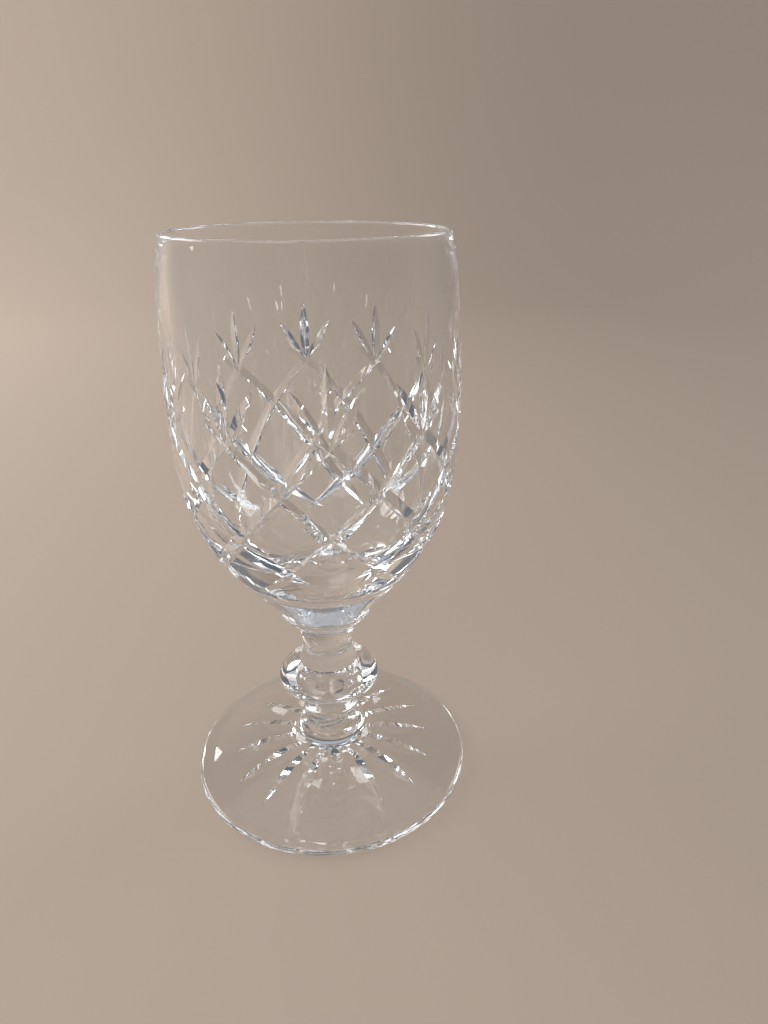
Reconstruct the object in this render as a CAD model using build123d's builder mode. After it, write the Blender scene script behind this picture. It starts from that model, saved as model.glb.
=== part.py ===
"""A cut-crystal sherry glass: bowl, collar, neck, knop, stem and foot, fused one on another.

The frame has +Z up, with the origin under the middle of the foot. Sizes are in millimetres.
"""

import os
from math import cos, degrees, radians, sin, sqrt, tan

from build123d import *

# Foot
foot_radius = 29.2
foot_edge = 1.9
foot_edge_round = 0.7
foot_fillet_radius = 9.2
foot_fillet_height = 6.5
foot_fillet_slope = (-0.12, 0.99)
foot_height = 9.0
foot_hollow = 3.6
standing_ring_width = 2.6

# Star cut under the foot
star_rays = 16
star_middle_radius = 12.5
star_depth = 0.66
star_wheel_radius = 40.6
star_wheel_angle = 138.0
star_wheel_edge = 1.0

# Stem, from the foot to the knop
stem_length = 9.2
stem_radius = 5.75
stem_foot_radius = 6.6
stem_knop_radius = 5.7

# Knop
knop_height = 7.6
knop_radius = 10.6
knop_edge_height = 3.1
knop_edge_round = 1.0
knop_side_height = 0.8
knop_side_taper = 0.2
knop_top_radius = 6.0
knop_top_slope = (-0.8, 0.6)

# Neck, with its bead
neck_length = 6.2
neck_shaft_radius = 5.2
neck_radius = 5.0
neck_top_radius = 5.2
bead_radius = 5.4
bead_height = 1.2
bead_rise = 1.8

# Collar under the bowl
collar_height = 6.6
collar_radius = 9.2
collar_lip = 0.9
collar_lip_round = 0.3
collar_sag = 0.4

# Bowl
bowl_height = 71.4
bowl_seat_radius = 8.8
bowl_seat_slope = (0.62, 0.78)
hip_radius = 21.6
hip_height = 17.4
belly_radius = 26.0
belly_height = 43.4
shoulder_radius = 25.35
shoulder_height = 58.1
rim_radius = 23.8
rim_slope = (-0.24, 0.97)
rim_inside_slope = (0.12, -0.99)
rim_wall = 1.0
shoulder_wall = 1.8
belly_wall = 2.6
hip_wall = 3.4
hip_wall_way = (0.8, -0.6)
floor_thickness = 8.9

# Diamond-and-fan cut round the bowl
fan_count = 10
fan_base_height = 41.9
mitre_middle_height = 25.5
mitre_end_height = 14.9
mitre_end_spacings = 1.86
mitre_start_depth = 0.5
mitre_middle_depth = 1.15
mitre_end_depth = 0.6
mitre_run_out = 8.0
mitre_angle = 96.0
leaf_reach = 6.5
leaf_depth = 0.9
side_leaf_reach = 5.5
side_leaf_depth = 0.78
side_leaf_lean = 30.0
leaf_wheel_radius = 27.0
leaf_wheel_angle = 96.0

# The bowl's cutting wheels: the depth of their V edge, more than any cut into the glass
wheel_edge = 2.0

# The turn of a wheel that cuts
wheel_turn = 50.0

# Heights of the seams where one piece is fused to the next
knop_base = foot_height + stem_length
neck_base = knop_base + knop_height
collar_base = neck_base + neck_length
bowl_base = collar_base + collar_height
rim_top = bowl_base + bowl_height

fan_spacing = 360 / fan_count
front = -90
up = Vector(0, 0, 1)


def v_cutter(place, axis_distance, edge, angle, turn):
    """A V edge of this depth, swept through this turn, half each way, round an axis along the place's Y.

    It cuts deepest at the place's origin, and opens along the place's X.
    """
    spin = Axis((0, 0, 0), place.y_dir)
    axis = Axis(place.from_local_coords((axis_distance, 0, 0)), place.y_dir)
    opening = place.x_dir.rotate(spin, -turn / 2)
    start = Plane(
        axis.position - opening * axis_distance,
        x_dir=opening,
        z_dir=place.z_dir.rotate(spin, -turn / 2),
    )
    flank = edge * tan(radians(angle / 2))
    with BuildPart() as cutter:
        with BuildSketch(start):
            with BuildLine():
                Polyline((0, 0), (edge, flank), (edge, -flank), close=True)
            make_face()
        revolve(axis=axis, revolution_arc=turn)
    return cutter.part


# Outline of the bowl's outside, from the collar to the rim: X is the radius and Y the height
with BuildLine() as bowl_outside:
    Spline(
        (bowl_seat_radius, bowl_base),
        (hip_radius, bowl_base + hip_height),
        (belly_radius, bowl_base + belly_height),
        (shoulder_radius, bowl_base + shoulder_height),
        (rim_radius, rim_top - rim_wall / 2),
        tangents=(bowl_seat_slope, rim_slope),
    )
outside = bowl_outside.line


def on_wall(turn, height, depth):
    """The point at this angle and height in the bowl's wall, at this depth, and the way out of it."""
    low, high = 0.0, 1.0
    for _ in range(40):
        middle = (low + high) / 2
        if (outside @ middle).Y < height:
            low = middle
        else:
            high = middle
    radius = (outside @ low).X
    slope = outside % low
    side = Vector(cos(radians(turn)), sin(radians(turn)), 0)
    outward = side * slope.Y - up * slope.X
    return side * radius + up * height - outward * depth, outward


def mitre_cutter(hand):
    """A long V groove from a fan's base, down and round the bowl to one hand."""
    start, _ = on_wall(0, bowl_base + fan_base_height, mitre_start_depth)
    middle, _ = on_wall(hand * fan_spacing, bowl_base + mitre_middle_height, mitre_middle_depth)
    end_turn = hand * fan_spacing * mitre_end_spacings
    end, _ = on_wall(end_turn, bowl_base + mitre_end_height, mitre_end_depth)
    with BuildLine() as path:
        ThreePointArc(start, middle, end)
    arc = path.edge()
    lowest = arc @ 0.5
    place = Plane(lowest, x_dir=lowest - arc.arc_center, z_dir=arc % 0.5)
    turn = degrees(arc.length / arc.radius) + 2 * mitre_run_out
    return v_cutter(place, -arc.radius, wheel_edge, mitre_angle, turn)


def leaf_cutter(reach, lean, depth):
    """A leaf, cut with a wheel, that rises from a fan's base and leans to one hand."""
    base, _ = on_wall(0, bowl_base + fan_base_height, 0)
    turn = degrees(reach * sin(radians(lean)) / base.X)
    height = bowl_base + fan_base_height + reach * cos(radians(lean))
    deepest, outward = on_wall(turn, height, depth)
    round_the_bowl = up.cross(outward).normalized()
    up_the_wall = outward.cross(round_the_bowl)
    along = up_the_wall * cos(radians(lean)) + round_the_bowl * sin(radians(lean))
    place = Plane(deepest, x_dir=outward, z_dir=along)
    return v_cutter(place, leaf_wheel_radius, wheel_edge, leaf_wheel_angle, wheel_turn)


fan_cuts = [
    mitre_cutter(1),
    mitre_cutter(-1),
    leaf_cutter(leaf_reach, 0, leaf_depth),
    leaf_cutter(side_leaf_reach, side_leaf_lean, side_leaf_depth),
    leaf_cutter(side_leaf_reach, -side_leaf_lean, side_leaf_depth),
]

# Bowl: a deep tulip with a thick floor and a fire-polished rim, cut all round
with BuildPart() as bowl:
    with BuildSketch(Plane.XZ):
        with BuildLine():
            add(outside)
            rim_inside = (rim_radius - rim_wall, rim_top - rim_wall / 2)
            ThreePointArc(outside @ 1, (rim_radius - rim_wall / 2, rim_top), rim_inside)
            floor = (0, bowl_base + floor_thickness)
            Spline(
                rim_inside,
                (shoulder_radius - shoulder_wall, bowl_base + shoulder_height),
                (belly_radius - belly_wall, bowl_base + belly_height),
                (hip_radius - hip_wall * hip_wall_way[0], bowl_base + hip_height - hip_wall * hip_wall_way[1]),
                floor,
                tangents=(rim_inside_slope, (-1, 0)),
            )
            Polyline(floor, (0, bowl_base), outside @ 0)
        make_face()
    revolve(axis=Axis.Z)
    for cut in fan_cuts:
        with PolarLocations(0, fan_count, start_angle=front):
            add(cut, mode=Mode.SUBTRACT)

# Collar: the flared button of glass that carries the bowl
with BuildPart() as collar:
    with BuildSketch(Plane.XZ):
        with BuildLine():
            lip_radius = collar_radius - collar_lip_round
            lip_base = (lip_radius, bowl_base - collar_lip)
            flare = SagittaArc((neck_top_radius, collar_base), lip_base, collar_sag)
            lip_middle = (collar_radius, bowl_base - collar_lip / 2)
            lip = ThreePointArc(lip_base, lip_middle, (lip_radius, bowl_base))
            Polyline(lip @ 1, (0, bowl_base), (0, collar_base), flare @ 0)
        make_face()
    revolve(axis=Axis.Z)

# Neck: the narrowest length, with a bead round it
with BuildPart() as neck:
    with BuildSketch(Plane.XZ):
        with BuildLine():
            bead_middle = neck_base + neck_length / 2 + bead_rise
            bead_low = (neck_radius, bead_middle - bead_height / 2)
            bead_high = (neck_radius, bead_middle + bead_height / 2)
            shaft = (neck_shaft_radius, (neck_base + bead_low[1]) / 2)
            below = ThreePointArc((knop_top_radius, neck_base), shaft, bead_low)
            ThreePointArc(bead_low, (bead_radius, bead_middle), bead_high)
            above = Line(bead_high, (neck_top_radius, collar_base))
            Polyline(above @ 1, (0, collar_base), (0, neck_base), below @ 0)
        make_face()
    revolve(axis=Axis.Z)

# Knop: a flattened ball, domed above a rounded edge
with BuildPart() as knop:
    with BuildSketch(Plane.XZ):
        with BuildLine():
            edge_base = knop_base + knop_edge_height
            edge = FilletPolyline(
                (stem_knop_radius, knop_base),
                (knop_radius, edge_base),
                (knop_radius - knop_side_taper, edge_base + knop_side_height),
                radius=knop_edge_round,
            )
            top = Spline(edge @ 1, (knop_top_radius, neck_base), tangents=(edge % 1, knop_top_slope))
            Polyline(top @ 1, (0, neck_base), (0, knop_base), edge @ 0)
        make_face()
    revolve(axis=Axis.Z)

# Stem: the stout waisted length between the knop and the foot
with BuildPart() as stem:
    with BuildSketch(Plane.XZ):
        with BuildLine():
            waist = (stem_radius, foot_height + stem_length / 2)
            side = Spline((stem_foot_radius, foot_height), waist, (stem_knop_radius, knop_base))
            Polyline(side @ 1, (0, knop_base), (0, foot_height), side @ 0)
        make_face()
    revolve(axis=Axis.Z)


# Underside of the foot: a flat standing ring round a shallow dome
ring_radius = foot_radius - foot_edge_round - standing_ring_width
dome_radius = (ring_radius**2 + foot_hollow**2) / (2 * foot_hollow)


def dome_height(radius):
    """The height of the foot's underside at this distance from the middle."""
    return foot_hollow - dome_radius + sqrt(dome_radius**2 - radius**2)


ray_middle = Vector(star_middle_radius, 0, dome_height(star_middle_radius))
ray_opens = (Vector(0, 0, foot_hollow - dome_radius) - ray_middle).normalized()
ray_along = ray_opens.cross(Vector(0, 1, 0))
star_place = Plane(ray_middle - ray_opens * star_depth, x_dir=ray_opens, z_dir=ray_along)
star_cut = v_cutter(star_place, star_wheel_radius, star_wheel_edge, star_wheel_angle, wheel_turn)

# Foot: a thin domed disc that rises to the stem, star cut underneath
with BuildPart() as foot:
    with BuildSketch(Plane.XZ):
        with BuildLine():
            edge_radius = foot_radius - foot_edge_round
            dome = ThreePointArc(
                (0, foot_hollow),
                (ring_radius / 2, dome_height(ring_radius / 2)),
                (ring_radius, 0),
            )
            ring = Line(dome @ 1, (edge_radius, 0))
            rim = ThreePointArc(ring @ 1, (foot_radius, foot_edge / 2), (edge_radius, foot_edge))
            slope = Line(rim @ 1, (foot_fillet_radius, foot_fillet_height))
            fillet_end = (stem_foot_radius, foot_height)
            fillet_arc = Spline(slope @ 1, fillet_end, tangents=(slope % 1, foot_fillet_slope))
            Polyline(fillet_arc @ 1, (0, foot_height), dome @ 0)
        make_face()
    revolve(axis=Axis.Z)
    for ray in range(star_rays):
        add(star_cut.rotate(Axis.Z, front + ray * 360 / star_rays), mode=Mode.SUBTRACT)

os.makedirs("parts", exist_ok=True)
pieces = {"bowl": bowl, "collar": collar, "neck": neck, "knop": knop, "stem": stem, "foot": foot}
for name, piece in pieces.items():
    piece.part.label = name
    export_step(piece.part, f"parts/{name}.step")
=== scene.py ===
"""A cut-crystal sherry glass on a pale floor: six fused lengths of clear glass, wheel cut and polished.

Sizes are in metres in the CAD frame, with +Z up and the origin under the middle of the foot.
"""

from math import acos, cos, degrees, pi, radians, sin, sqrt, tan

import bpy
import numpy as np
from mathutils import Matrix, Vector


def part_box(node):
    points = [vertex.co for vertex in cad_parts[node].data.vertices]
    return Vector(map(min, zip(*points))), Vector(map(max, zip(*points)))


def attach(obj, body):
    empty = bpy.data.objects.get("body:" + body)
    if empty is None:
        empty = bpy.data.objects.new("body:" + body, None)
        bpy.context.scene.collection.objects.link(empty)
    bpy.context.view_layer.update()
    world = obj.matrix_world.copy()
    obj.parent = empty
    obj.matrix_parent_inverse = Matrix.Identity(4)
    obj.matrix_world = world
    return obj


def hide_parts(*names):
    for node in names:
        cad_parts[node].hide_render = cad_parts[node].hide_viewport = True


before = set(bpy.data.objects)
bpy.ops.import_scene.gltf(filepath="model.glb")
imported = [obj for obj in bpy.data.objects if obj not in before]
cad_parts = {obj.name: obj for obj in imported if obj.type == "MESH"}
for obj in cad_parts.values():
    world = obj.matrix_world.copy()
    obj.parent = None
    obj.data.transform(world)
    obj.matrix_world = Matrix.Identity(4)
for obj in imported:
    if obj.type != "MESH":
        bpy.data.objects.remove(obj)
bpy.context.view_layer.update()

MM = 0.001

# Seams between the fused lengths of glass, from the frame
foot_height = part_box("foot")[1].z
knop_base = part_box("stem")[1].z
neck_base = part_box("knop")[1].z
collar_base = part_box("neck")[1].z
bowl_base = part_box("collar")[1].z
rim_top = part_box("bowl")[1].z

# Foot
foot_radius = 29.2 * MM
foot_edge = 1.9 * MM
foot_edge_round = 0.7 * MM
foot_fillet_radius = 9.2 * MM
foot_fillet_height = 6.5 * MM
foot_hollow = 3.6 * MM
standing_ring_width = 2.6 * MM
foot_fillet_slope = (-0.12, 0.99)

# Star cut under the foot
star_rays = 16
star_middle_radius = 12.5 * MM
star_depth = 0.66 * MM
star_wheel_radius = 40.6 * MM
star_wheel_angle = 138.0
star_wheel_edge = 1.0 * MM

# Stem, knop and neck
stem_radius = 5.75 * MM
stem_foot_radius = 6.6 * MM
stem_knop_radius = 5.7 * MM
knop_radius = 10.6 * MM
knop_edge_height = 3.1 * MM
knop_edge_round = 1.0 * MM
knop_side_height = 0.8 * MM
knop_side_taper = 0.2 * MM
knop_top_radius = 6.0 * MM
knop_top_slope = (-0.8, 0.6)
neck_shaft_radius = 5.2 * MM
neck_radius = 5.0 * MM
neck_top_radius = 5.2 * MM
bead_radius = 5.4 * MM
bead_height = 1.2 * MM
bead_rise = 1.8 * MM

# Collar
collar_radius = 9.2 * MM
collar_lip = 0.9 * MM
collar_lip_round = 0.3 * MM
collar_sag = 0.4 * MM

# Bowl
bowl_seat_radius = 8.8 * MM
hip_radius = 21.6 * MM
hip_height = 17.4 * MM
belly_radius = 26.0 * MM
belly_height = 43.4 * MM
shoulder_radius = 25.35 * MM
shoulder_height = 58.1 * MM
rim_radius = 23.8 * MM
rim_wall = 1.0 * MM
shoulder_wall = 1.8 * MM
belly_wall = 2.6 * MM
hip_wall = 3.4 * MM
floor_thickness = 8.9 * MM
hip_wall_way = (0.8, 0.6)
bowl_seat_slope = (0.62, 0.78)
rim_slope = (-0.24, 0.97)
rim_inside_slope = (0.12, -0.99)

# Diamond-and-fan cut round the bowl
fan_count = 10
fan_base_height = 41.9 * MM
mitre_middle_height = 25.5 * MM
mitre_end_height = 14.9 * MM
mitre_end_spacings = 1.86
mitre_start_depth = 0.5 * MM
mitre_middle_depth = 1.15 * MM
mitre_end_depth = 0.6 * MM
mitre_run_out = 8.0
mitre_angle = 96.0
leaf_reach = 6.5 * MM
leaf_depth = 0.9 * MM
side_leaf_reach = 5.5 * MM
side_leaf_depth = 0.78 * MM
side_leaf_lean = 30.0
leaf_wheel_radius = 27.0 * MM
leaf_wheel_angle = 96.0
wheel_edge = 2.0 * MM
wheel_turn = 50.0

# How finely the glass is turned and cut
turn_steps = 240
cut_steps = 40
crease_angle = 14.0

# Clear lead crystal
crystal_tint = (0.985, 0.992, 0.995, 1)
crystal_ior = 1.545
draw_line_depth = 0.05 * MM
knop_ring_depth = 0.01 * MM
stem_ring_depth = 0.06 * MM
wheel_grain_depth = 0.001 * MM

# The floor, which lies a hair below the glass, and the wall that it sweeps up into
# Floor tones: painted light on the left side and painted shade on the right, spread across board_reach
# either way of the middle
board_painted_lit = (0.60, 0.49, 0.40, 1)
board_painted_shade = (0.35, 0.28, 0.23, 1)
board_reach = 0.4
# A dim tone painted far to the sides and up the wall, as painted shade; the camera also sees it beyond the
# floor
board_painted_far_shade = (0.15, 0.16, 0.18, 1)
board_far_slant = 0.75
board_far_start = 0.12
board_far_end = 0.5
wall_fade_start = 0.34
wall_fade_end = 0.7
board_glow = 0.7
floor_drop = 0.15 * MM
cove_radius = 0.9
cove_round = 0.25
cove_height = 1.1

# Light from the room
room_low = (0.06, 0.065, 0.075, 1)
room_high = (0.45, 0.48, 0.52, 1)
room_low_rise = 0.25
room_high_rise = 0.9
daylight = (1.0, 1.0, 1.0)
cool_daylight = (0.92, 0.96, 1.0)
light_bounces = 96
seam_bounces = 32

# The photograph's view
image_width = 768
focal_pixels = 723.9
sensor_width = 36.0
camera_distance = 127.1 * MM
camera_height = 117.5 * MM
camera_tilt = 24.82
camera_pan = 5.46
camera_roll = -0.56
front_turn = -3.7

front = -90
up = Vector((0, 0, 1))


# Outlines: lists of (radius, height) points


def arc(first, middle, last, count):
    """Points along the circle arc from first to last through the middle point."""
    a, b, c = np.array(first), np.array(middle), np.array(last)
    rows = 2 * np.array([b - a, c - a])
    centre = np.linalg.solve(rows, [b @ b - a @ a, c @ c - a @ a])
    angles = [np.arctan2(*(p - centre)[::-1]) for p in (a, b, c)]
    start, _, end = np.unwrap(angles)
    size = np.linalg.norm(a - centre)
    turn = np.linspace(start, end, count)
    return [(centre[0] + size * cos(t), centre[1] + size * sin(t)) for t in turn]


def curve(points, lead_in, lead_out, count):
    """Points along a smooth curve through these points. Its ends take the given directions, if any."""
    p = np.array(points, float)
    length = np.r_[0, np.cumsum(np.linalg.norm(np.diff(p, axis=0), axis=1))]
    last = len(p) - 1
    step = np.diff(length)
    rows = np.zeros((last + 1, last + 1))
    sums = np.zeros((last + 1, 2))
    for i in range(1, last):
        rows[i, i - 1 : i + 2] = step[i], 2 * (step[i - 1] + step[i]), step[i - 1]
        behind = step[i] / step[i - 1] * (p[i] - p[i - 1])
        ahead = step[i - 1] / step[i] * (p[i + 1] - p[i])
        sums[i] = 3 * (behind + ahead)
    for end, beside, direction in ((0, 1, lead_in), (last, last - 1, lead_out)):
        if direction:
            rows[end, end] = 1
            sums[end] = np.array(direction) / np.linalg.norm(direction)
        else:
            rows[end, end] = 2
            rows[end, beside] = 1
            sums[end] = 3 * (p[end] - p[beside]) / (length[end] - length[beside])
    slope = np.linalg.solve(rows, sums)
    drawn = []
    for s in np.linspace(0, length[-1], count):
        i = min(np.searchsorted(length, s, side="right") - 1, last - 1)
        t = (s - length[i]) / step[i]
        start = (1 + 2 * t) * (1 - t) ** 2 * p[i] + t * (1 - t) ** 2 * step[i] * slope[i]
        end = t**2 * (3 - 2 * t) * p[i + 1] + t**2 * (t - 1) * step[i] * slope[i + 1]
        drawn.append(tuple(start + end))
    return drawn


def line(first, last, count):
    """Evenly spaced points from first to last."""
    return [tuple(p) for p in np.linspace(first, last, count)]


def rounded_corner(first, corner, last, size, count):
    """Points along the arc of this radius that rounds the corner between two straight runs."""
    corner = np.array(corner)
    back = (np.array(first) - corner) / np.linalg.norm(np.array(first) - corner)
    on = (np.array(last) - corner) / np.linalg.norm(np.array(last) - corner)
    half = acos(back @ on) / 2
    reach = size / tan(half)
    inward = (back + on) / np.linalg.norm(back + on)
    nearest = corner + inward * (size / sin(half) - size)
    return arc(corner + back * reach, nearest, corner + on * reach, count)


def joined(*runs):
    """One outline from several runs, with each shared end kept once."""
    outline = list(runs[0])
    for run in runs[1:]:
        repeats = np.allclose(outline[-1], run[0], atol=1e-7)
        outline.extend(run[1:] if repeats else run)
    return outline


# Modelling


def drawn_line(name, points):
    """A new object in edit mode: one point drawn out through these places, all selected."""
    bpy.ops.object.select_all(action="DESELECT")
    bpy.ops.mesh.primitive_plane_add(size=MM)
    piece = bpy.context.object
    piece.name = name
    piece.data.name = name
    bpy.ops.object.mode_set(mode="EDIT")
    bpy.ops.mesh.merge(type="CENTER")
    bpy.ops.transform.translate(value=points[0])
    for before, after in zip(points, points[1:]):
        move = Vector(after) - Vector(before)
        bpy.ops.mesh.extrude_region_move(TRANSFORM_OT_translate={"value": move})
    bpy.ops.mesh.select_all(action="SELECT")
    return piece


def close_up():
    """Merges the doubles of the mesh in edit mode, turns its faces outwards and leaves edit mode."""
    bpy.ops.mesh.select_all(action="SELECT")
    bpy.ops.mesh.remove_doubles(threshold=MM / 1000)
    bpy.ops.mesh.normals_make_consistent(inside=False)
    bpy.ops.object.mode_set(mode="OBJECT")


def turned(name, outline):
    """A piece turned about the upright axis from this outline."""
    piece = drawn_line(name, [(radius, 0, height) for radius, height in outline])
    bpy.ops.mesh.spin(steps=turn_steps, angle=2 * pi, center=(0, 0, 0), axis=up)
    close_up()
    return piece


def wheel_cut(place, axis_distance, depth, angle, turn):
    """A V edge of this depth, swept through this turn, half each way, round an axis along the place's Y.

    It cuts deepest at the place's origin, and opens along the place's X.
    """
    opens, across = place.col[0].xyz, place.col[1].xyz
    axis = place.translation + opens * axis_distance
    flank = depth * tan(radians(angle / 2))
    start = Matrix.Rotation(radians(-turn / 2), 3, across)
    corners = [(0, 0), (depth, flank), (depth, -flank)]
    edge = [axis + start @ (opens * (x - axis_distance)) + across * y for x, y in corners]
    cutter = drawn_line("wheel", edge)
    bpy.ops.mesh.edge_face_add()
    bpy.ops.mesh.spin(steps=cut_steps, angle=radians(-turn), center=axis, axis=across)
    close_up()
    cutter.data.materials.append(fused_seam)
    cutter.data.materials.append(cut_facets)
    for face in cutter.data.polygons:
        face.material_index = 1
    return cutter


def cut_round(piece, cutter, count, passes=1):
    """Cuts the piece at this many places, evenly round it from the front on.

    It takes several passes where cuts beside each other would meet.
    """
    for first in range(passes):
        bpy.ops.object.select_all(action="DESELECT")
        for i in range(first, count, passes):
            copy = cutter.copy()
            copy.data = cutter.data.copy()
            copy.data.transform(Matrix.Rotation(radians(front + 360 / count * i), 4, up))
            bpy.context.scene.collection.objects.link(copy)
            copy.select_set(True)
            bpy.context.view_layer.objects.active = copy
        bpy.ops.object.join()
        ring = bpy.context.object
        cut = piece.modifiers.new("wheel cuts", "BOOLEAN")
        cut.operation = "DIFFERENCE"
        cut.solver = "MANIFOLD"
        cut.object = ring
        bpy.context.view_layer.objects.active = piece
        bpy.ops.object.modifier_apply(modifier=cut.name)
        bpy.data.objects.remove(ring)
    bpy.data.objects.remove(cutter)


def crystal_piece(name, outline, finish, node, seams):
    """A turned piece of the glass that stands for a CAD node.

    Its seams are the heights and radii of the faces fused to the next piece.
    """
    piece = turned(name, outline)
    for slot_finish in (finish, cut_facets, fused_seam):
        piece.data.materials.append(slot_finish)
    for face in piece.data.polygons:
        for height, radius in seams:
            if abs(face.center.z - height) < MM / 100 and face.center.xy.length < radius:
                face.material_index = 2
    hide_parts(node)
    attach(piece, "root")
    return piece


def polish(piece):
    """Smooth shading, with the edges of the cuts kept crisp."""
    bpy.ops.object.select_all(action="DESELECT")
    piece.select_set(True)
    bpy.context.view_layer.objects.active = piece
    bpy.ops.object.shade_smooth_by_angle(angle=radians(crease_angle))


# Finishes


class Shade:
    """A socket of a node tree. Sums on it add Math nodes, and node() adds any other node."""

    def __init__(self, tree, socket=None):
        self.tree = tree
        self.socket = socket

    def node(self, kind, settings=None, sockets=None, output=0):
        added = self.tree.nodes.new(kind)
        for name, value in (settings or {}).items():
            setattr(added, name, value)
        for name, value in (sockets or {}).items():
            if isinstance(value, Shade):
                self.tree.links.new(value.socket, added.inputs[name])
            else:
                added.inputs[name].default_value = value
        return Shade(self.tree, added.outputs[output] if added.outputs else None)

    def math(self, operation, left, right):
        return self.node("ShaderNodeMath", {"operation": operation}, {0: left, 1: right})

    def __radd__(self, other):
        return self.math("ADD", other, self)

    def __sub__(self, other):
        return self.math("SUBTRACT", self, other)

    def __rmul__(self, other):
        return self.math("MULTIPLY", other, self)


def new_finish(name):
    """A new material with an empty node tree, as a value to add nodes to."""
    material = bpy.data.materials.new(name)
    material.use_nodes = True
    material.node_tree.nodes.clear()
    return material, Shade(material.node_tree)


def surface(tree, shader):
    """Makes this shader the material's surface."""
    tree.node("ShaderNodeOutputMaterial", None, {"Surface": shader})


def noise(tree, stretch, scale, detail):
    """Soft noise in the object's own place, stretched by these factors."""
    place = tree.node("ShaderNodeTexCoord", output=3)
    drawn = tree.node("ShaderNodeMapping", None, {"Vector": place, "Scale": stretch})
    return tree.node("ShaderNodeTexNoise", None, {"Vector": drawn, "Scale": scale, "Detail": detail})


def relief(tree, height, strength, depth):
    """A bump of this strength and depth."""
    sockets = {"Height": height, "Strength": strength, "Distance": depth}
    return tree.node("ShaderNodeBump", None, sockets)


def mixed(tree, share, first, second):
    """A colour between these two, at this share of the way."""
    return tree.node("ShaderNodeMix", {"data_type": "RGBA"}, {0: share, 6: first, 7: second}, 2)


def fade(tree, value, start, end):
    """A smooth step from 0 to 1 as this value goes from start to end."""
    ends = {"Value": value, "From Min": start, "From Max": end}
    return tree.node("ShaderNodeMapRange", {"interpolation_type": "SMOOTHSTEP"}, ends)


def crystal_shader(tree, roughness, bump):
    """Clear lead crystal."""
    return tree.node(
        "ShaderNodeBsdfPrincipled",
        None,
        {
            "Base Color": crystal_tint,
            "IOR": crystal_ior,
            "Transmission Weight": 1.0,
            "Roughness": roughness,
            "Normal": bump,
        },
    )


def make_blown_crystal():
    """The bowl's blown crystal: faint upright draw lines, and a trace of smearing in its polish."""
    material, tree = new_finish("blown_crystal")
    draw_lines = noise(tree, (1, 1, 0.12), 170, 2)
    smears = noise(tree, (1, 1, 1), 90, 3)
    bump = relief(tree, draw_lines, 0.4, draw_line_depth)
    surface(tree, crystal_shader(tree, 0.015 * smears, bump))
    return material


def make_worked_crystal(name, ring_depth):
    """The hand-worked lengths below the bowl: faint rings, this deep, left by the tools."""
    material, tree = new_finish(name)
    tool_rings = noise(tree, (0.05, 0.05, 1), 1500, 2)
    smears = noise(tree, (1, 1, 1), 90, 3)
    bump = relief(tree, tool_rings, 0.4, ring_depth)
    surface(tree, crystal_shader(tree, 0.012 * smears, bump))
    return material


def make_cut_facets():
    """The wheel's cuts: acid polished, with the ghost of the wheel's fine grain."""
    material, tree = new_finish("cut_facets")
    grain = noise(tree, (1, 1, 1), 900, 1)
    bump = relief(tree, grain, 0.3, wheel_grain_depth)
    surface(tree, crystal_shader(tree, 0.004 + 0.012 * grain, bump))
    return material


def make_fused_seam():
    """Where one length of glass is fused to the next, light goes straight through."""
    material, tree = new_finish("fused_seam")
    surface(tree, tree.node("ShaderNodeBsdfTransparent"))
    return material


def make_pale_board():
    """The floor and its backdrop: matt, pale and warm, with painted light to the left and painted shade to
    the right, and dimmed by painted shade far to the sides and up the wall.

    Most of its tone is an even glow, so that it is as pale where it is seen through the glass.
    """
    material, tree = new_finish("pale_board")
    speckle = noise(tree, (1, 1, 1), 300, 4)
    place = tree.node("ShaderNodeTexCoord", output=3)
    across = tree.node("ShaderNodeSeparateXYZ", None, {"Vector": place})
    behind = tree.node("ShaderNodeSeparateXYZ", None, {"Vector": place}, "Y")
    above = tree.node("ShaderNodeSeparateXYZ", None, {"Vector": place}, "Z")
    # Painted shade across the floor: lighter to the left, darker to the right
    painted_side_shade = fade(tree, across, -board_reach, board_reach)
    # Painted shade that dims the floor far to the sides and up the wall
    aside = tree.math("ABSOLUTE", across, 0) - board_far_slant * behind
    painted_far_shade_share = fade(tree, aside, board_far_start, board_far_end)
    painted_far_shade_share = tree.math("MAXIMUM", painted_far_shade_share, fade(tree, above, wall_fade_start, wall_fade_end))
    colour = mixed(tree, painted_far_shade_share, mixed(tree, painted_side_shade, board_painted_lit, board_painted_shade), board_painted_far_shade)
    matt = tree.node(
        "ShaderNodeBsdfPrincipled",
        None,
        {"Base Color": colour, "Roughness": 0.6 + 0.2 * speckle, "Specular IOR Level": 0.2},
    )
    glow = tree.node("ShaderNodeEmission", None, {"Color": colour, "Strength": 1.0})
    seen = tree.node("ShaderNodeLightPath", output="Is Camera Ray")
    for way in ("Is Glossy Ray", "Is Transmission Ray"):
        seen = tree.math("MAXIMUM", seen, tree.node("ShaderNodeLightPath", output=way))
    surface(tree, tree.node("ShaderNodeMixShader", None, {0: board_glow * seen, 1: matt, 2: glow}))
    return material


blown_crystal = make_blown_crystal()
worked_crystal = make_worked_crystal("worked_crystal", knop_ring_depth)
tooled_crystal = make_worked_crystal("tooled_crystal", stem_ring_depth)
cut_facets = make_cut_facets()
fused_seam = make_fused_seam()
pale_board = make_pale_board()


# Bowl

rim_centre = (rim_radius - rim_wall / 2, rim_top - rim_wall / 2)
bowl_side = curve(
    [
        (bowl_seat_radius, bowl_base),
        (hip_radius, bowl_base + hip_height),
        (belly_radius, bowl_base + belly_height),
        (shoulder_radius, bowl_base + shoulder_height),
        (rim_radius, rim_centre[1]),
    ],
    bowl_seat_slope,
    rim_slope,
    110,
)


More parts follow.
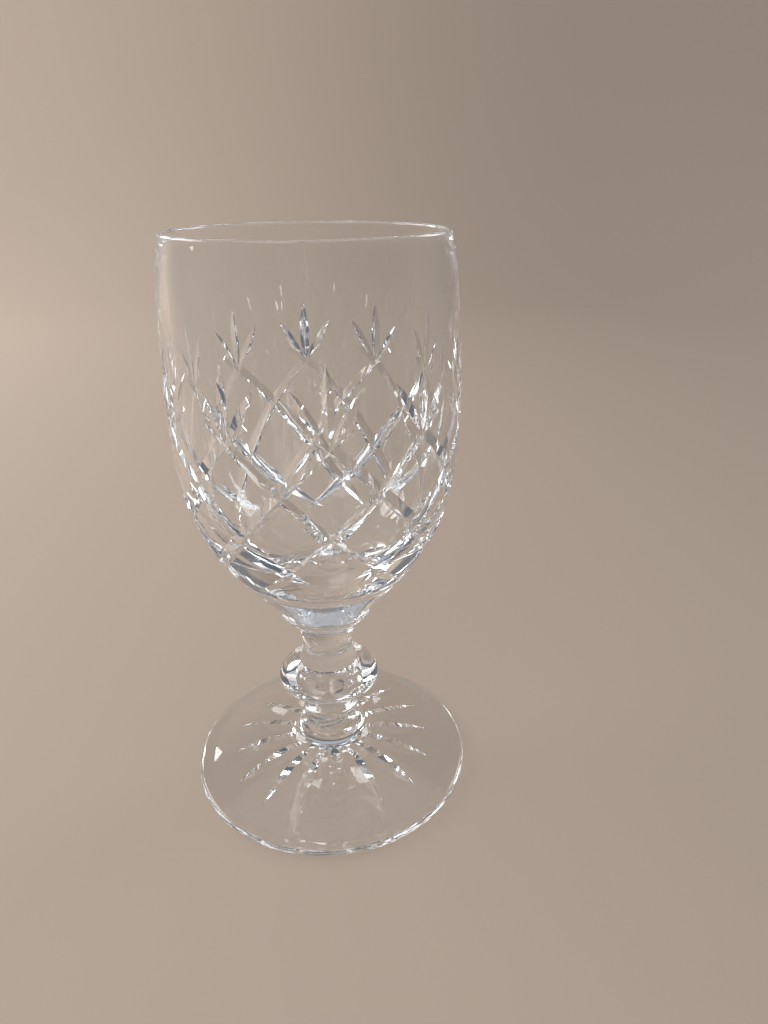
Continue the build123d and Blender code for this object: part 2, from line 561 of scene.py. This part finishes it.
def on_wall(turn, height, depth):
    """The point at this angle and height in the bowl's wall, at this depth, and the way out of it."""
    radii, heights = np.array(bowl_side).T
    i = int(np.searchsorted(heights, height))
    share = (height - heights[i - 1]) / (heights[i] - heights[i - 1])
    radius = radii[i - 1] + share * (radii[i] - radii[i - 1])
    along = Vector((radii[i] - radii[i - 1], heights[i] - heights[i - 1])).normalized()
    side = Vector((cos(radians(turn)), sin(radians(turn)), 0))
    outward = side * along.y - up * along.x
    return side * radius + up * height - outward * depth, outward


def frame_at(origin, opens, along):
    """A place whose X is the way that a cut opens and whose Z runs along it."""
    z = along.normalized()
    x = (opens - opens.dot(z) * z).normalized()
    place = Matrix((x, z.cross(x), z)).transposed().to_4x4()
    place.translation = origin
    return place


def mitre(hand):
    """A long V groove from a fan's base, down and round the bowl to one hand."""
    start, _ = on_wall(0, bowl_base + fan_base_height, mitre_start_depth)
    spacing = hand * 360 / fan_count
    middle, _ = on_wall(spacing, bowl_base + mitre_middle_height, mitre_middle_depth)
    end, _ = on_wall(spacing * mitre_end_spacings, bowl_base + mitre_end_height, mitre_end_depth)
    first, second = middle - start, end - start
    across = first.cross(second)
    to_centre = second.length_squared * across.cross(first) + first.length_squared * second.cross(across)
    to_centre = to_centre / (2 * across.length_squared)
    centre = start + to_centre
    size = to_centre.length
    whole = (start - centre).angle(end - centre)
    outward = ((start - centre) + (end - centre)).normalized()
    lowest = centre + outward * size
    place = frame_at(lowest, outward, across.cross(outward))
    return wheel_cut(place, -size, wheel_edge, mitre_angle, degrees(whole) + 2 * mitre_run_out)


def leaf(reach, lean, depth):
    """A leaf that rises from a fan's base and leans to one hand."""
    base, _ = on_wall(0, bowl_base + fan_base_height, 0)
    turn = degrees(reach * sin(radians(lean)) / base.x)
    height = bowl_base + fan_base_height + reach * cos(radians(lean))
    deepest, outward = on_wall(turn, height, depth)
    round_the_bowl = up.cross(outward).normalized()
    up_the_wall = outward.cross(round_the_bowl)
    along = up_the_wall * cos(radians(lean)) + round_the_bowl * sin(radians(lean))
    place = frame_at(deepest, outward, along)
    return wheel_cut(place, leaf_wheel_radius, wheel_edge, leaf_wheel_angle, wheel_turn)


def make_bowl():
    """The deep tulip, with a thick floor, a fire-polished rim and the cut all round."""
    rim_inside = (rim_radius - rim_wall, rim_centre[1])
    hip_inside = (
        hip_radius - hip_wall * hip_wall_way[0],
        bowl_base + hip_height + hip_wall * hip_wall_way[1],
    )
    inside = curve(
        [
            rim_inside,
            (shoulder_radius - shoulder_wall, bowl_base + shoulder_height),
            (belly_radius - belly_wall, bowl_base + belly_height),
            hip_inside,
            (0, bowl_base + floor_thickness),
        ],
        rim_inside_slope,
        (-1, 0),
        90,
    )
    rim = arc(bowl_side[-1], (rim_centre[0], rim_top), rim_inside, 15)
    seat = line((0, bowl_base), bowl_side[0], 3)
    outline = joined(seat, bowl_side, rim, inside)
    bowl = crystal_piece("cut_bowl", outline, blown_crystal, "bowl", [(bowl_base, bowl_seat_radius)])
    cut_round(bowl, mitre(1), fan_count)
    cut_round(bowl, mitre(-1), fan_count)
    cut_round(bowl, leaf(leaf_reach, 0, leaf_depth), fan_count)
    cut_round(bowl, leaf(side_leaf_reach, side_leaf_lean, side_leaf_depth), fan_count)
    cut_round(bowl, leaf(side_leaf_reach, -side_leaf_lean, side_leaf_depth), fan_count)
    polish(bowl)


def make_collar():
    """The flared button of glass that carries the bowl."""
    lip_radius = collar_radius - collar_lip_round
    low, high = (neck_top_radius, collar_base), (lip_radius, bowl_base - collar_lip)
    chord = Vector(high) - Vector(low)
    middle = Vector(low) + chord / 2 + Vector((-chord.y, chord.x)).normalized() * collar_sag
    flare = arc(low, middle, high, 24)
    lip = arc(high, (collar_radius, bowl_base - collar_lip / 2), (lip_radius, bowl_base), 13)
    seat = (bowl_seat_radius, bowl_base)
    top = joined(line(lip[-1], seat, 2), line(seat, (0, bowl_base), 3))
    outline = joined(line((0, collar_base), low, 3), flare, lip, top)
    seams = [(collar_base, collar_radius), (bowl_base, bowl_seat_radius)]
    polish(crystal_piece("collar_button", outline, tooled_crystal, "collar", seams))


def make_neck():
    """The narrowest length, with a bead round it."""
    middle = (neck_base + collar_base) / 2 + bead_rise
    low, high = (neck_radius, middle - bead_height / 2), (neck_radius, middle + bead_height / 2)
    shaft = (neck_shaft_radius, (neck_base + low[1]) / 2)
    below = arc((knop_top_radius, neck_base), shaft, low, 15)
    bead = arc(low, (bead_radius, middle), high, 13)
    above = line(high, (neck_top_radius, collar_base), 6)
    bottom, top = line((0, neck_base), below[0], 3), line(above[-1], (0, collar_base), 3)
    outline = joined(bottom, below, bead, above, top)
    seams = [(neck_base, knop_radius), (collar_base, knop_radius)]
    polish(crystal_piece("beaded_neck", outline, tooled_crystal, "neck", seams))


def make_knop():
    """A flattened ball, domed above a rounded edge."""
    low, corner = (stem_knop_radius, knop_base), (knop_radius, knop_base + knop_edge_height)
    side_top = (knop_radius - knop_side_taper, corner[1] + knop_side_height)
    high = (knop_top_radius, neck_base)
    edge = rounded_corner(low, corner, side_top, knop_edge_round, 21)
    upright = (-knop_side_taper, knop_side_height)
    dome = curve([side_top, high], upright, knop_top_slope, 30)
    side = joined(line(low, edge[0], 10), edge, line(edge[-1], side_top, 3), dome)
    outline = joined(line((0, knop_base), low, 3), side, line(high, (0, neck_base), 3))
    seams = [(knop_base, knop_radius), (neck_base, knop_radius)]
    polish(crystal_piece("knop_ball", outline, worked_crystal, "knop", seams))


def make_stem():
    """The stout waisted length between the knop and the foot."""
    waist = (stem_radius, (foot_height + knop_base) / 2)
    low, high = (stem_foot_radius, foot_height), (stem_knop_radius, knop_base)
    side = curve([low, waist, high], None, None, 24)
    outline = joined(line((0, foot_height), side[0], 3), side, line(side[-1], (0, knop_base), 3))
    seams = [(foot_height, knop_radius), (knop_base, knop_radius)]
    polish(crystal_piece("waisted_stem", outline, tooled_crystal, "stem", seams))


def make_foot():
    """A thin domed disc that rises to the stem, star cut underneath."""
    edge_radius = foot_radius - foot_edge_round
    ring_radius = edge_radius - standing_ring_width
    dome_radius = (ring_radius**2 + foot_hollow**2) / (2 * foot_hollow)

    def dome_height(radius):
        return foot_hollow - dome_radius + sqrt(dome_radius**2 - radius**2)

    dome = arc((0, foot_hollow), (ring_radius / 2, dome_height(ring_radius / 2)), (ring_radius, 0), 60)
    ring = line((ring_radius, 0), (edge_radius, 0), 6)
    edge = arc((edge_radius, 0), (foot_radius, foot_edge / 2), (edge_radius, foot_edge), 17)
    fillet_start = (foot_fillet_radius, foot_fillet_height)
    slope = line(edge[-1], fillet_start, 40)
    slope_way = tuple(np.array(fillet_start) - edge[-1])
    fillet = curve([fillet_start, (stem_foot_radius, foot_height)], slope_way, foot_fillet_slope, 20)
    outline = joined(dome, ring, edge, slope, fillet, line(fillet[-1], (0, foot_height), 3))
    foot = crystal_piece("star_foot", outline, worked_crystal, "foot", [(foot_height, stem_foot_radius)])
    ray_middle = Vector((star_middle_radius, 0, dome_height(star_middle_radius)))
    opens = (up * (foot_hollow - dome_radius) - ray_middle).normalized()
    place = frame_at(ray_middle - opens * star_depth, opens, opens.cross(Vector((0, 1, 0))))
    ray = wheel_cut(place, star_wheel_radius, star_wheel_edge, star_wheel_angle, wheel_turn)
    cut_round(foot, ray, star_rays, star_rays)
    polish(foot)


make_bowl()
make_collar()
make_neck()
make_knop()
make_stem()
make_foot()


# Floor and backdrop, lamps and camera


def make_cove():
    """A pale floor that sweeps up into a wall all round."""
    flat = cove_radius - cove_round
    halfway = (flat + cove_round * sin(pi / 4), cove_round * (1 - cos(pi / 4)))
    sweep = arc((flat, 0), halfway, (cove_radius, cove_round), 16)
    outline = joined(line((0, 0), (flat, 0), 4), sweep, line(sweep[-1], (cove_radius, cove_height), 4))
    cove = turned("pale_cove", [(radius, height - floor_drop) for radius, height in outline])
    bpy.ops.object.mode_set(mode="EDIT")
    bpy.ops.mesh.select_all(action="SELECT")
    bpy.ops.mesh.normals_make_consistent(inside=True)
    bpy.ops.object.mode_set(mode="OBJECT")
    cove.data.materials.append(pale_board)
    bpy.ops.object.shade_smooth()


def soft_lamp(name, place, size, brightness, colour):
    """A soft lamp of this width, height and brightness that faces the glass."""
    data = bpy.data.lights.new(name, "AREA")
    data.shape = "RECTANGLE"
    data.size, data.size_y = size
    data.energy = brightness * pi * data.size * data.size_y
    data.color = colour
    lamp = bpy.data.objects.new(name, data)
    lamp.location = place
    lamp.rotation_euler = (Vector((0, 0, rim_top / 2)) - Vector(place)).to_track_quat("-Z", "Y").to_euler()
    bpy.context.scene.collection.objects.link(lamp)


def make_world():
    """Light from a room that is dim all round and paler overhead.

    The camera sees the wall's far tone, a painted shade, in its place.
    """
    world = bpy.data.worlds.new("soft_room")
    world.use_nodes = True
    world.node_tree.nodes.clear()
    tree = Shade(world.node_tree)
    way = tree.node("ShaderNodeTexCoord")
    rise = tree.node("ShaderNodeSeparateXYZ", None, {"Vector": way}, "Z")
    ends = {"Value": rise, "From Min": room_low_rise, "From Max": room_high_rise}
    share = tree.node("ShaderNodeMapRange", None, ends)
    seen = tree.node("ShaderNodeLightPath", output="Is Camera Ray")
    colour = mixed(tree, seen, mixed(tree, share, room_low, room_high), board_painted_far_shade)
    light = tree.node("ShaderNodeBackground", None, {"Color": colour, "Strength": 1.0})
    tree.node("ShaderNodeOutputWorld", None, {"Surface": light})
    bpy.context.scene.world = world


def make_camera():
    """The camera, at the photograph's viewing angle."""
    data = bpy.data.cameras.new("photo_view")
    data.sensor_fit = "HORIZONTAL"
    data.sensor_width = sensor_width
    data.lens = focal_pixels * sensor_width / image_width
    data.clip_start = 1 * MM
    camera = bpy.data.objects.new("photo_view", data)
    camera.matrix_world = (
        Matrix.Rotation(radians(front_turn), 4, "Z")
        @ Matrix.Translation((0, -camera_distance, camera_height))
        @ Matrix.Rotation(radians(-camera_pan), 4, "Z")
        @ Matrix.Rotation(radians(90 - camera_tilt), 4, "X")
        @ Matrix.Rotation(radians(camera_roll), 4, "Z")
    )
    bpy.context.scene.collection.objects.link(camera)
    bpy.context.scene.camera = camera


make_cove()
soft_lamp("window_left", (-0.66, 0.28, 0.42), (0.5, 0.35), 6.0, daylight)
soft_lamp("window_right", (0.68, 0.28, 0.42), (0.3, 0.35), 6.0, cool_daylight)
soft_lamp("window_back", (-0.45, 0.58, 0.32), (0.16, 0.16), 16.0, daylight)
soft_lamp("panel_front", (-0.35, -0.5, 0.7), (0.4, 0.4), 2.0, cool_daylight)
make_world()
make_camera()

scene = bpy.context.scene
scene.view_settings.view_transform = "Standard"
scene.cycles.max_bounces = light_bounces
scene.cycles.glossy_bounces = light_bounces
scene.cycles.transmission_bounces = light_bounces
scene.cycles.transparent_max_bounces = seam_bounces
